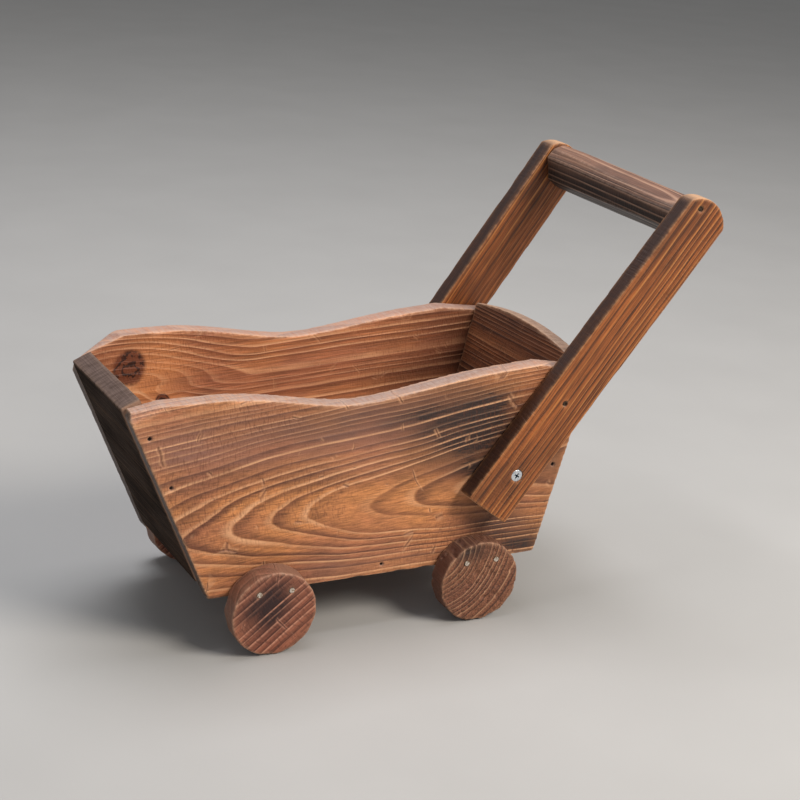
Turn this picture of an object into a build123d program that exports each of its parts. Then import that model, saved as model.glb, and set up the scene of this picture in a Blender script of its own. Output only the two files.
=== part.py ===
"""Flower planter in the shape of a small push cart, nailed together from scorched pine boards.

A tray with leaning end boards stands on four fixed wooden discs. Its two side boards spread
towards the rear, and a handle of two raked arms and a rounded crossbar is fixed to them.

Millimetres, +Z up. The cart faces -X, so the handle is at +X, and its left side is at -Y.
The origin is on the ground, under the middle of the whole cart.
"""

import os
from dataclasses import dataclass
from math import cos, hypot, radians, sin, tan

from build123d import *

# Tray: all boards are sawn from one stock.
board = 13.0
ground_clearance = 34.0  # from the ground to the tray's underside
tray_length = 216.0  # along the side boards' lower edges
side_height = 118.5  # from a side board's lower edge to its upper corners
front_overhang = 49.0  # the upper front corner lies this far ahead of the lower one
rear_overhang = 30.0  # the upper rear corner lies this far behind the lower one
front_width = 115.4  # over both side boards at their lower front corners
splay = 2.6  # degrees that each side board turns away from the centre line
end_board_lift = 6.0  # the end boards stop this far short of the lower corners
rear_board_rise = 3.5  # the rear board's ends stand this far above the side boards' corners
rear_board_arch = 6.0  # and its middle this much higher

# Handle
arm_width = 33.5
arm_thickness = 13.0
arm_length = 231.5  # from the square foot to the crown of the rounded top
arm_crown = 9.0  # height of the rounded top's arc
arm_rake = 52.6  # degrees above level
arm_foot_inset = 44.0  # the foot's middle lies this far ahead of the lower rear corner
arm_foot_rise = 38.6  # and this far above the side board's lower edge
crossbar_height = 26.0  # along the arms
crossbar_depth = 30.0  # across the arms
crossbar_round = 9.0  # radius of the crossbar's long edges
crossbar_drop = 2.5  # its top stops this far below the arms' crown

# Wheels: plain discs nailed to the side boards
wheel_radius = 26.5
wheel_thickness = 15.0
front_wheel_inset = 36.0  # from the lower front corner to the wheel's centre
rear_wheel_inset = 45.5  # from the lower rear corner to the wheel's centre
wheel_nail_spacing = 20.0

# Fasteners
hole_clearance = 0.1  # on the radius of each nail and screw
front_brad_count = 4
rear_brad_count = 3
lowest_brad = 11.5  # above the side boards' lower edge
highest_brad = 14.5  # below the side boards' upper corners
floor_brad_share = 0.51  # of the tray's length, from the front
arm_screw_run = 28.5  # from the arm's foot
arm_screw_offset = -2.7  # towards the arm's rear edge
arm_nail_drop = 16.0  # below the side board's upper rear corner
arm_nail_offset = 1.0
crossbar_nail_offset = 7.0  # towards the arm's front edge
crossbar_nail_depth = 6.5  # below the crossbar's top


@dataclass(frozen=True)
class TopEdge:
    """Hand-cut upper edge of a side board, measured from the board's own upper corners."""

    cut_run: float  # slanted cut at the front corner
    crest_run: float  # front corner to the end of the level crest
    crest_rise: float
    dip_run: float  # front corner to the lowest point
    dip_drop: float
    shoulder_run: float  # rear corner to the end of the wave
    shoulder_rise: float
    peak_run: float  # rear corner to the highest point at the rear
    peak_rise: float


left_edge = TopEdge(
    cut_run=20.0,
    crest_run=49.0,
    crest_rise=4.0,
    dip_run=134.0,
    dip_drop=6.5,
    shoulder_run=72.0,
    shoulder_rise=4.0,
    peak_run=38.0,
    peak_rise=6.5,
)
right_edge = TopEdge(
    cut_run=32.0,
    crest_run=52.0,
    crest_rise=11.5,
    dip_run=143.0,
    dip_drop=1.5,
    shoulder_run=62.0,
    shoulder_rise=4.8,
    peak_run=37.0,
    peak_rise=5.8,
)


@dataclass(frozen=True)
class Nail:
    """Round wire nail with a flat head."""

    length: float
    shank_radius: float
    head_radius: float
    head_thickness: float
    sunk: float  # from the wood's surface down to the head


@dataclass(frozen=True)
class Screw:
    """Countersunk screw with a cross recess."""

    length: float
    shank_radius: float
    head_radius: float
    head_height: float
    sunk: float
    recess_span: float
    recess_slot: float
    recess_depth: float


brad = Nail(length=30.0, shank_radius=0.8, head_radius=1.3, head_thickness=0.8, sunk=1.2)
wheel_nail = Nail(length=42.0, shank_radius=1.1, head_radius=1.6, head_thickness=0.8, sunk=0.0)
arm_nail = Nail(length=24.0, shank_radius=1.1, head_radius=1.6, head_thickness=0.8, sunk=1.2)
crossbar_nail = Nail(length=38.0, shank_radius=1.1, head_radius=1.6, head_thickness=0.8, sunk=1.2)
arm_screw = Screw(
    length=24.0,
    shank_radius=1.9,
    head_radius=3.8,
    head_height=2.4,
    sunk=0.3,
    recess_span=4.6,
    recess_slot=1.1,
    recess_depth=1.6,
)

# Derived places
front_slope = hypot(front_overhang, side_height)
rear_slope = hypot(rear_overhang, side_height)
crossbar_centre = arm_length - crossbar_drop - crossbar_height / 2
mid_floor = board / 2


def half_width(x: float, inset: float) -> float:
    """Half the width between the side boards' outer faces at x, less an inset square to them."""
    return front_width / 2 + x * tan(radians(splay)) - inset / cos(radians(splay))


def left(shape):
    """Place a shape from the left side board's own frame.

    In that frame X runs to the rear along the outer face, Y points into the tray, and the
    origin is the board's lower front corner.
    """
    corner = Location((0, -front_width / 2, ground_clearance), (0, 0, -splay))
    return corner * shape


def right(shape):
    """Place a shape from a side board's frame on the right side, as a mirror image."""
    return mirror(left(shape), about=Plane.XZ)


def upright(sketch, start: float, end: float):
    """Extrude a sketch of X and height from one depth Y to another."""
    return extrude(Plane.XZ.offset(-start) * sketch, amount=start - end)


def between_sides(blank, inset: float):
    """Trim a crosswise blank, so that its ends lie flat on the two side planes."""
    extent = blank.bounding_box()
    corners = [(x, -half_width(x, inset)) for x in (extent.min.X, extent.max.X)]
    corners += [(x, -y) for x, y in reversed(corners)]
    plan = make_face(Polyline(*corners, close=True))
    return blank & extrude(plan, amount=extent.max.Z)


def side_board(edge: TopEdge):
    """Side board in its own frame, with its hand-cut wavy upper edge."""
    front = -front_overhang
    rear = tray_length + rear_overhang
    cut_end = (front + edge.cut_run, side_height + edge.crest_rise)
    crest = (front + edge.crest_run, side_height + edge.crest_rise)
    dip = (front + edge.dip_run, side_height - edge.dip_drop)
    shoulder = (rear - edge.shoulder_run, side_height + edge.shoulder_rise)
    peak = (rear - edge.peak_run, side_height + edge.peak_rise)
    lower_rear = (tray_length, 0)
    corner_front = (front, side_height)
    corner_rear = (rear, side_height)
    level = Vector(1, 0)
    wave = Spline(crest, dip, shoulder, tangents=[level, Vector(*peak) - Vector(*shoulder)])
    rest = Polyline(shoulder, peak, corner_rear, lower_rear, (0, 0), corner_front, cut_end, crest)
    return upright(make_face(wave + rest), 0, board)


def front_board():
    """Plain board between the side boards, flush with their front edges."""
    height = front_slope - end_board_lift
    face = Plane((0, 0, ground_clearance), (0, 1, 0), (side_height, 0, front_overhang))
    middle = Pos(0, end_board_lift + height / 2, board / 2)
    return between_sides(face * middle * Box(2 * front_width, height, board), board)


def rear_board():
    """Board between the side boards, flush with their rear edges, with an arched top."""
    face = Plane((tray_length, 0, ground_clearance), (0, -1, 0), (-side_height, 0, rear_overhang))
    top = rear_slope + rear_board_rise
    reach = half_width(tray_length + rear_overhang * top / rear_slope, board)
    arch = ThreePointArc((reach, top), (0, top + rear_board_arch), (-reach, top))
    rest = Polyline((-reach, top), (-reach, end_board_lift), (reach, end_board_lift), (reach, top))
    return between_sides(face * extrude(make_face(arch + rest), amount=board), board)


def floor_board():
    """Floor between the side boards, from one end board's inner lower edge to the other's."""
    front = (board * side_height - end_board_lift * front_overhang) / front_slope
    rear_set = (board * side_height - end_board_lift * rear_overhang) / rear_slope
    length = tray_length - rear_set - front
    middle = Pos(front + length / 2, 0, ground_clearance + board / 2)
    return between_sides(middle * Box(length, 2 * front_width, board), board)


def on_arm(run: float, offset: float = 0) -> tuple:
    """X and height, in the side frame, of a point on the arm's centre line plus an offset."""
    rake = radians(arm_rake)
    x = tray_length - arm_foot_inset + run * cos(rake) - offset * sin(rake)
    height = arm_foot_rise + run * sin(rake) + offset * cos(rake)
    return x, height


def handle_arm():
    """Arm in the side frame: a square foot, straight edges and a rounded top."""
    half = arm_width / 2
    shoulder = arm_length - arm_crown
    crown = ThreePointArc((shoulder, half), (arm_length, 0), (shoulder, -half))
    rest = Polyline((shoulder, -half), (0, -half), (0, half), (shoulder, half))
    outline = Pos(*on_arm(0)) * Rot(0, 0, arm_rake) * make_face(crown + rest)
    return upright(outline, -arm_thickness, 0)


def handle_crossbar():
    """Rounded bar between the arms, in the cart's frame."""
    x, height = on_arm(crossbar_centre)
    section = RectangleRounded(crossbar_height, crossbar_depth, crossbar_round)
    turned = Pos(x * cos(radians(splay)), height) * Rot(0, 0, arm_rake) * section
    bar = upright(turned, -front_width, front_width)
    return between_sides(Pos(0, 0, ground_clearance) * bar, 0)


def wheel(x: float):
    """Wheel disc in the side frame, flat on the board's outer face and down to the ground."""
    disc = Pos(x, wheel_radius - ground_clearance) * Circle(wheel_radius)
    return upright(disc, -wheel_thickness, 0)


def turned_along_y(profile: list, x: float, height: float, surface: float):
    """Revolve a profile of (depth, radius) points about a line that runs into the wood."""
    body = revolve(make_face(Polyline(*profile, close=True)), Axis.X)
    return Pos(x, surface, height) * Rot(0, 0, 90) * body


def nail(kind: Nail, x: float, height: float, surface: float):
    """Nail in the side frame, driven in from a surface at depth Y."""
    neck = kind.sunk + kind.head_thickness
    point = kind.length - 3 * kind.shank_radius
    profile = [(kind.sunk, 0), (kind.sunk, kind.head_radius), (neck, kind.head_radius)]
    profile += [(neck, kind.shank_radius), (point, kind.shank_radius), (kind.length, 0)]
    return turned_along_y(profile, x, height, surface)


def nail_hole(kind: Nail, x: float, height: float, surface: float):
    """Hole that the nail sits in, open at the surface."""
    neck = kind.sunk + kind.head_thickness
    head = kind.head_radius + hole_clearance
    shank = kind.shank_radius + hole_clearance
    end = kind.length + hole_clearance
    profile = [(-board / 2, 0), (-board / 2, head), (neck, head), (neck, shank), (end, shank), (end, 0)]
    return turned_along_y(profile, x, height, surface)


def screw(kind: Screw, x: float, height: float, surface: float):
    """Countersunk screw in the side frame, with its cross recess cut."""
    neck = kind.sunk + kind.head_height
    point = kind.length - 2 * kind.shank_radius
    profile = [(kind.sunk, 0), (kind.sunk, kind.head_radius), (neck, kind.shank_radius)]
    profile += [(point, kind.shank_radius), (kind.length, 0)]
    slot = Rectangle(kind.recess_span, kind.recess_slot)
    cross = Pos(x, height) * Rot(0, 0, arm_rake) * (slot + Rot(0, 0, 90) * slot)
    mouth = surface + kind.sunk
    recess = upright(cross, mouth - kind.recess_depth, mouth + kind.recess_depth)
    return turned_along_y(profile, x, height, surface) - recess


def screw_hole(kind: Screw, x: float, height: float, surface: float):
    """Countersunk hole for the screw, open at the surface."""
    neck = kind.sunk + kind.head_height
    head = kind.head_radius + hole_clearance
    shank = kind.shank_radius + hole_clearance
    end = kind.length + hole_clearance
    profile = [(-board / 2, 0), (-board / 2, head), (kind.sunk, head), (neck, shank), (end, shank), (end, 0)]
    return turned_along_y(profile, x, height, surface)


def evenly_up(count: int) -> list:
    """Heights of a row of brads up the end of a side board."""
    top = side_height - highest_brad
    return [lowest_brad + i * (top - lowest_brad) / (count - 1) for i in range(count)]


def front_brad_places() -> list:
    """Middle of the front board's thickness, seen on the side board."""
    inset = board / 2 * front_slope / side_height
    return [(inset - h * front_overhang / side_height, h) for h in evenly_up(front_brad_count)]


def rear_brad_places() -> list:
    """Middle of the rear board's thickness, seen on the side board."""
    inset = board / 2 * rear_slope / side_height
    rear = tray_length - inset
    return [(rear + h * rear_overhang / side_height, h) for h in evenly_up(rear_brad_count)]


def wheel_nail_places(x: float) -> list:
    """Two nails level with the middle of the floor board, which they reach."""
    return [(x + side * wheel_nail_spacing / 2, mid_floor) for side in (-1, 1)]


def arm_nail_place() -> tuple:
    """Nail below the board's upper corner, where the arm still lies on the board."""
    run = (side_height - arm_nail_drop - arm_foot_rise) / sin(radians(arm_rake))
    return on_arm(run, arm_nail_offset)


wheel_x = {"front": front_wheel_inset, "rear": tray_length - rear_wheel_inset}
screw_place = on_arm(arm_screw_run, arm_screw_offset)
crossbar_nail_run = crossbar_centre + crossbar_height / 2 - crossbar_nail_depth
crossbar_nail_place = on_arm(crossbar_nail_run, crossbar_nail_offset)

# Every nail group of one side: its kind, its places and the surface that it is driven in from.
nail_groups = {
    "front_board_brads": (brad, front_brad_places(), 0),
    "rear_board_brads": (brad, rear_brad_places(), 0),
    "floor_brad": (brad, [(tray_length * floor_brad_share, mid_floor)], 0),
    "handle_nail": (arm_nail, [arm_nail_place()], -arm_thickness),
    "crossbar_nail": (crossbar_nail, [crossbar_nail_place], -arm_thickness),
}
for end, x in wheel_x.items():
    nail_groups[f"wheel_nails_{end}"] = (wheel_nail, wheel_nail_places(x), -wheel_thickness)


def side_holes() -> list:
    """All fastener holes of one side, in the side frame."""
    holes = [screw_hole(arm_screw, *screw_place, -arm_thickness)]
    for kind, places, surface in nail_groups.values():
        holes += [nail_hole(kind, x, height, surface) for x, height in places]
    return holes


def drilled(shape, holes: list):
    """Cut the holes that reach a shape."""
    box = shape.bounding_box()
    near = [hole for hole in holes if box.overlaps(hole.bounding_box())]
    return shape - near if near else shape


def build_nodes() -> dict:
    """Every piece of the cart, by node name."""
    nodes = {}
    holes = side_holes()
    all_holes = []
    for side, place, edge in (("left", left, left_edge), ("right", right, right_edge)):
        all_holes += [place(hole) for hole in holes]
        nodes[f"side_board_{side}"] = place(drilled(side_board(edge), holes))
        nodes[f"handle_arm_{side}"] = place(drilled(handle_arm(), holes))
        for end, x in wheel_x.items():
            nodes[f"wheel_{end}_{side}"] = place(drilled(wheel(x), holes))
        nodes[f"handle_screw_{side}"] = place(screw(arm_screw, *screw_place, -arm_thickness))
        for name, (kind, places, surface) in nail_groups.items():
            nails = [place(nail(kind, x, height, surface)) for x, height in places]
            nodes[f"{name}_{side}"] = Compound(nails)
    nodes["front_board"] = drilled(front_board(), all_holes)
    nodes["rear_board"] = drilled(rear_board(), all_holes)
    nodes["floor_board"] = drilled(floor_board(), all_holes)
    nodes["handle_crossbar"] = drilled(handle_crossbar(), all_holes)
    return nodes


nodes = build_nodes()
whole = Compound(list(nodes.values())).bounding_box()
to_origin = Pos(-whole.center().X, -whole.center().Y, -whole.min.Z)
os.makedirs("parts", exist_ok=True)
for name, shape in nodes.items():
    export_step(to_origin * shape, f"parts/{name}.step")
print(f"{len(nodes)} nodes, {whole.size.X:.2f} x {whole.size.Y:.2f} x {whole.size.Z:.2f} mm")
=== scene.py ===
"""Cart-shaped flower planter of burnt and brushed pine boards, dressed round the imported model."""

import logging
import math
from dataclasses import dataclass, field
from enum import Enum
from typing import ClassVar, Sequence

import bmesh
import bpy
import numpy as np
from mathutils import Euler, Matrix, Vector


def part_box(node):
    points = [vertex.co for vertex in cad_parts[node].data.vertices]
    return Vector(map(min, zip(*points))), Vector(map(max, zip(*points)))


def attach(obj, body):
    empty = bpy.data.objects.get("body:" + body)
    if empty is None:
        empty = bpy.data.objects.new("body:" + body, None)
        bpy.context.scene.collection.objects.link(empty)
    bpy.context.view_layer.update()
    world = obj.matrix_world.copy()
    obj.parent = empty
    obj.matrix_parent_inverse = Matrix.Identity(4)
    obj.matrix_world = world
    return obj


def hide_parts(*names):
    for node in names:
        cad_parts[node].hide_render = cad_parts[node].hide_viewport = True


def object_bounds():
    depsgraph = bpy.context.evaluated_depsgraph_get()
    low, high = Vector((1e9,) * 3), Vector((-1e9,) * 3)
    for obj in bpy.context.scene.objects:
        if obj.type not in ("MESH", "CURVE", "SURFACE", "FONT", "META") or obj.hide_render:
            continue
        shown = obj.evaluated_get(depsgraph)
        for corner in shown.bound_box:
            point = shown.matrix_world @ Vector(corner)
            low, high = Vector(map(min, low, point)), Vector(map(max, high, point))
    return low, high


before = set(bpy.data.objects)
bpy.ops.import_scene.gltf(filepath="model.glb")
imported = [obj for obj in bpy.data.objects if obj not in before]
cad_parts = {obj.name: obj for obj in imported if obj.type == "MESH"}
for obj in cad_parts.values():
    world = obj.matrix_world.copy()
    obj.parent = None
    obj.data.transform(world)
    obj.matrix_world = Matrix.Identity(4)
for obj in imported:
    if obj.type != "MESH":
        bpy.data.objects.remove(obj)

LOG = logging.getLogger("planter")
MM = 0.001  # metres
CAD_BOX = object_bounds()
THROUGH = 500.0  # millimetres: longer than any board is thick
SPLAY = 2.6  # degrees that each side board and what it carries is turned by in plan
Socket = bpy.types.NodeSocket
Tree = bpy.types.NodeTree


class Slot(Enum):
    """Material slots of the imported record."""

    SIDES = "side_boards"
    ENDS = "end_boards"
    FLOOR = "floor"
    ARMS = "handle_arms"
    CROSSBAR = "crossbar"
    WHEELS = "wheels"
    NAILS = "nails"
    SCREWS = "screws"


class Side(Enum):
    """Hand of a piece. The value is the sign of its Y."""

    LEFT = -1
    RIGHT = 1

    @property
    def word(self) -> str:
        """Side's name in piece and node names."""
        return self.name.lower()


def linear(colour: str) -> tuple[float, float, float, float]:
    """Turns an sRGB hex colour to linear.

    Args:
        colour: six hex digits after a hash sign.

    Returns:
        Linear red, green, blue and an alpha of 1.
    """
    channels = [int(colour[i : i + 2], 16) / 255 for i in (1, 3, 5)]
    red, green, blue = (
        c / 12.92 if c <= 0.04045 else ((c + 0.055) / 1.055) ** 2.4 for c in channels
    )
    return red, green, blue, 1.0


def add(tree: Tree, kind: str, inputs: dict | None = None, **settings: object) -> bpy.types.Node:
    """Adds a node to a tree.

    Args:
        tree: node tree of a material or a world.
        kind: node type.
        inputs: values or sockets to link, under the names or numbers of the node's inputs.
        settings: the node's own properties.

    Returns:
        The node.
    """
    node = tree.nodes.new(kind)
    for name, value in settings.items():
        setattr(node, name, value)
    for key, value in (inputs or {}).items():
        if isinstance(value, Socket):
            tree.links.new(value, node.inputs[key])
        else:
            node.inputs[key].default_value = value
    return node


class Unevenness:
    """Smooth seeded unevenness, worked out for whole arrays of places."""

    def __init__(self, seed: int, side: int = 32) -> None:
        """Fills a lattice with random heights.

        Args:
            seed: seed of the random heights.
            side: lattice points along each side, after which it repeats.
        """
        self.side = side
        self.heights = np.random.default_rng(seed).uniform(-1, 1, (side,) * 3)

    def at(self, places: np.ndarray, size: Sequence[float]) -> np.ndarray:
        """Gives the height at each place.

        Args:
            places: rows of x, y and z.
            size: size of a bump along x, y and z, in the same unit.

        Returns:
            Heights between -1 and 1.
        """
        cells = places / np.asarray(size)
        low = np.floor(cells).astype(int)
        part = cells - low
        part = part * part * (3 - 2 * part)
        total = np.zeros(len(places))
        for corner in np.ndindex(2, 2, 2):
            share = np.prod(np.where(corner, part, 1 - part), axis=1)
            i, j, k = ((low + corner) % self.side).T
            total += share * self.heights[i, j, k]
        return total


@dataclass(frozen=True)
class Stock:
    """Blank that a piece was cut from: x along its grain, y through it, z across its width."""

    origin: Vector  # metres, in the cart's frame
    turn: Euler

    @property
    def matrix(self) -> Matrix:
        """Matrix from the blank's own axes to the cart's frame."""
        return Matrix.LocRotScale(self.origin, self.turn, None)


@dataclass(frozen=True)
class Shave:
    """Flat left by a blade: what lies beyond it is cut away."""

    place: tuple[float, float, float]  # millimetres, in the blank's axes
    facing: tuple[float, float, float]


@dataclass(frozen=True)
class Handwork:
    """How a piece's surface was worked and worn, in millimetres."""

    net: float = 1.0  # spacing of the mesh that carries the wear
    easing: int = 3  # passes with abrasive over the edges
    edge_wear: float = 0.45  # depth of the rounding at an edge
    chip: float = 0.9  # depth of the chips broken out of an edge
    chip_size: tuple[float, float, float] = (9.0, 5.0, 9.0)
    wave: float = 0.35  # depth of the hollows left by planing by hand
    wave_size: tuple[float, float, float] = (60.0, 25.0, 22.0)
    furrow: float = 0.16  # soft wood brushed out between the fibres
    furrow_size: tuple[float, float, float] = (28.0, 2.2, 2.2)
    pit: float = 0.0  # depth of the pits that brushing leaves in end grain
    pit_size: float = 2.2
    tucked: float = -THROUGH  # height on the blank below which other boards shield the surface
    stretch: float = 0.0  # added at each end, pressed into the neighbours' eased edges
    shaves: tuple[Shave, ...] = ()
    seed: int = 1

    WELD: ClassVar[float] = MM * MM  # metres
    EDGE_PASSES: ClassVar[int] = 4  # how often an edge's sharpness spreads to its neighbours
    EDGE_GAIN: ClassVar[float] = 4.5  # brings a square edge's spread sharpness to 1
    TUCK_FADE: ClassVar[float] = 6.0  # over which a shielded surface becomes a bare one
    WEAR_PATCH: ClassVar[tuple[float, float, float]] = (30.0, 30.0, 30.0)

    def blank(self, node: str, stock: Stock) -> bmesh.types.BMesh:
        """Copies a CAD node into the blank's axes and shaves it.

        Args:
            node: CAD node's name.
            stock: blank's place.

        Returns:
            Closed mesh in metres, in the blank's axes.
        """
        work = bmesh.new()
        work.from_mesh(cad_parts[node].data)
        bmesh.ops.remove_doubles(work, verts=work.verts, dist=self.WELD)
        bmesh.ops.transform(work, matrix=stock.matrix.inverted(), verts=work.verts)
        if self.stretch:
            ends = [act(corner.co.x for corner in work.verts) for act in (min, max)]
            for corner in work.verts:
                for end, way in zip(ends, (-1, 1)):
                    if abs(corner.co.x - end) < MM:
                        corner.co.x += way * self.stretch * MM
        for shave in self.shaves:
            cut = bmesh.ops.bisect_plane(
                work,
                geom=[*work.verts, *work.edges, *work.faces],
                dist=self.WELD,
                plane_co=Vector(shave.place) * MM,
                plane_no=Vector(shave.facing).normalized(),
                clear_outer=True,
            )
            rim = [e for e in cut["geom_cut"] if isinstance(e, bmesh.types.BMEdge)]
            bmesh.ops.holes_fill(work, edges=rim, sides=0)
        bmesh.ops.recalc_face_normals(work, faces=work.faces)
        return work

    def netted(self, work: bmesh.types.BMesh, name: str) -> bpy.types.Mesh:
        """Gives a blank an even net of faces, fine enough to carry its wear.

        Args:
            work: closed mesh, which is freed.
            name: name of the new mesh.

        Returns:
            Mesh of even faces in the blank's axes.
        """
        rough = bpy.data.meshes.new(name + "_rough")
        work.to_mesh(rough)
        work.free()
        holder = bpy.data.objects.new(name + "_rough", rough)
        bpy.context.scene.collection.objects.link(holder)
        remesh = holder.modifiers.new("net", "REMESH")
        remesh.mode = "VOXEL"
        remesh.voxel_size = self.net * MM
        remesh.use_smooth_shade = True
        graph = bpy.context.evaluated_depsgraph_get()
        mesh = bpy.data.meshes.new_from_object(holder.evaluated_get(graph))
        bpy.data.objects.remove(holder)
        bpy.data.meshes.remove(rough)
        mesh.name = name
        eased = bmesh.new()
        eased.from_mesh(mesh)
        for _ in range(self.easing):
            bmesh.ops.smooth_vert(
                eased,
                verts=eased.verts,
                factor=0.5,
                use_axis_x=True,
                use_axis_y=True,
                use_axis_z=True,
            )
        eased.to_mesh(mesh)
        eased.free()
        return mesh

    def wear(self, mesh: bpy.types.Mesh) -> None:
        """Wears a mesh inwards and marks its worn and its sawn places.

        Args:
            mesh: even mesh in the blank's axes, changed in place.
        """
        count = len(mesh.vertices)
        places = np.zeros(count * 3, np.float32)
        facing = np.zeros(count * 3, np.float32)
        ends = np.zeros(len(mesh.edges) * 2, np.int64)
        mesh.vertices.foreach_get("co", places)
        mesh.vertices.foreach_get("normal", facing)
        mesh.edges.foreach_get("vertices", ends)
        places = places.reshape(-1, 3).astype(float) / MM
        facing = facing.reshape(-1, 3).astype(float)
        first, second = ends.reshape(-1, 2).T
        links = np.bincount(ends, minlength=count)

        def spread(values: np.ndarray) -> np.ndarray:
            """Averages each vertex's value with its neighbours'."""
            total = np.bincount(first, values[second], count)
            total += np.bincount(second, values[first], count)
            return (values + total / links) / 2

        step = places[second] - places[first]
        step /= np.linalg.norm(step, axis=1, keepdims=True)
        bend = np.bincount(first, -(step * facing[first]).sum(1), count)
        bend += np.bincount(second, (step * facing[second]).sum(1), count)
        bend /= links
        for _ in range(self.EDGE_PASSES):
            bend = spread(bend)
        chips = Unevenness(self.seed)
        broad = Unevenness(self.seed + 1)
        fine = Unevenness(self.seed + 2)
        bare = np.clip((places[:, 2] - self.tucked) / self.TUCK_FADE, 0, 1)
        edge = np.clip(bend * self.EDGE_GAIN, 0, 1) * bare
        bite = np.clip(chips.at(places, self.chip_size) * 1.6 - 0.35, 0, 1)
        rounding = self.edge_wear * (0.6 + 0.4 * chips.at(places, self.WEAR_PATCH))
        depth = edge * (rounding + self.chip * bite)
        depth += self.wave * (0.5 + 0.5 * broad.at(places, self.wave_size))
        depth += self.furrow * (0.5 + 0.5 * fine.at(places, self.furrow_size))
        if self.pit:
            hollow = fine.at(places, (self.pit_size,) * 3)
            depth += self.pit * np.clip(hollow * 2 - 0.3, 0, 1)
        depth *= bare
        places -= facing * depth[:, None]
        mesh.vertices.foreach_set("co", (places * MM).astype(np.float32).ravel())
        # A face counts as sawn once it leans away from the blank's own, and as an end past that
        sawn = np.clip((0.85 - np.abs(facing[:, 1])) / 0.35, 0, 1)
        end = np.clip((np.abs(facing[:, 0]) - 0.5) / 0.3, 0, 1)
        for name, values in (("worn", edge), ("sawn", sawn), ("end", end)):
            layer = mesh.attributes.new(name, "FLOAT", "POINT")
            layer.data.foreach_set("value", values.astype(np.float32))

    def make(self, node: str, name: str, stock: Stock) -> bpy.types.Object:
        """Makes the worn piece that stands for a CAD node.

        Args:
            node: CAD node's name.
            name: piece's name.
            stock: blank's place.

        Returns:
            Object at the origin, with its place in its mesh.
        """
        mesh = self.netted(self.blank(node, stock), name)
        self.wear(mesh)
        mesh.transform(stock.matrix)
        mesh.shade_smooth()
        piece = bpy.data.objects.new(name, mesh)
        bpy.context.scene.collection.objects.link(piece)
        return piece


@dataclass(frozen=True)
class Spot:
    """Soft-edged place on a blank, in millimetres in the blank's axes."""

    along: float
    up: float
    reach_along: float
    reach_up: float
    amount: float = 1.0


def coats(tree: Tree, shade: Socket, layers: Sequence[tuple[Socket, str]]) -> Socket:
    """Lays coats of colour over a shade, one after another.

    Args:
        tree: material's node tree.
        shade: colour that they cover.
        layers: how much each coat covers, from 0 to 1, and its sRGB hex colour.

    Returns:
        Socket with the covered colour.
    """
    for cover, colour in layers:
        # Mix keeps a pair of sockets for every data type, so its colours go by number
        shade = add(
            tree, "ShaderNodeMix", {0: cover, 6: shade, 7: linear(colour)}, data_type="RGBA"
        ).outputs[2]
    return shade


@dataclass(frozen=True)
class Pattern:
    """Noise drawn at a real size: millimetres along, through and across what it is drawn on."""

    size: tuple[float, float, float]
    detail: float = 2.0
    roughness: float = 0.5
    turn: float = 0.0  # degrees away from the grain
    shift: tuple[float, float, float] = (0.0, 0.0, 0.0)

    def place(self, tree: Tree, where: Socket) -> Socket:
        """Gives the place in the pattern, in its own bumps.

        Args:
            tree: material's node tree.
            where: place on the blank or in the log, in millimetres.

        Returns:
            Socket with the place.
        """
        return add(
            tree,
            "ShaderNodeMapping",
            {
                "Vector": where,
                "Scale": tuple(1 / width for width in self.size),
                "Rotation": (0, math.radians(self.turn), 0),
                "Location": self.shift,
            },
        ).outputs[0]

    def draw(self, tree: Tree, where: Socket) -> bpy.types.Node:
        """Draws the pattern.

        Args:
            tree: material's node tree.
            where: place on the blank or in the log, in millimetres.

        Returns:
            Noise node.
        """
        return add(
            tree,
            "ShaderNodeTexNoise",
            {
                "Vector": self.place(tree, where),
                "Scale": 1.0,
                "Detail": self.detail,
                "Roughness": self.roughness,
            },
        )


# The log grew unevenly: its rings wander by a few millimetres over a hand's length
SWAY = Pattern((110, 45, 45), detail=2.5, roughness=0.45)
# Patches in which the winter lines stand out or fade, and the flame bites or spares
PATCHES = Pattern((45, 14, 14), shift=(7, 3, 5))
# Wood fibres are 0.03 mm wide; they are drawn 0.9 mm wide, as bundles, so that they show
FIBRES = Pattern((26, 0.9, 0.9), detail=3.0, roughness=0.6)
# Planer marks ripple across the grain 1.3 mm apart, in strokes 4 mm long that drift with it
PLANER_MARKS = Pattern((1.3, 20, 4), detail=1.5, turn=9)
# Dents and dirt specks, 3 to 4 mm across
DENTS = Pattern((3, 7, 4), detail=3.5, roughness=0.6, turn=34)
# Net of checks about 30 mm wide, and the patches of skin in which it opened
CHECKS = Pattern((26, THROUGH, 34))
TORN_SKIN = Pattern((12, THROUGH, 12), detail=1.0, turn=31)
# Broad tints of the wood, and the flame's soft clouds over it
TINTS = Pattern((70, 70, 35), detail=3.0)
FLAME = Pattern((55, 40, 28), detail=4.0, roughness=0.55, shift=(3, 9, 1))
# Saw marks run across a sawn edge, 1.6 mm apart
SAW_MARKS = Pattern((1.6, 9, 9))


@dataclass(frozen=True)
class Grain:
    """Sockets of a blank's grain, which the layers of its finish share."""

    board: Socket  # place on the blank, in millimetres
    log: Socket  # place in the log, x along the pith
    drift: Socket  # slow wander of the grain, round nought
    loose: Socket  # place on the blank, drifting with the grain
    sway: Socket  # how far the grain wandered, from 0 to 1
    patch: Socket
    fibre: Socket
    dent: Socket


@dataclass(frozen=True)
class Marks:
    """Sockets of the marks on a blank's faces."""

    strokes: Socket  # planer marks
    nicks: Socket  # open checks
    # The lips are raised in the relief and also painted pale as a highlight
    lips_and_highlight: Socket  # raised lips beside them


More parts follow.
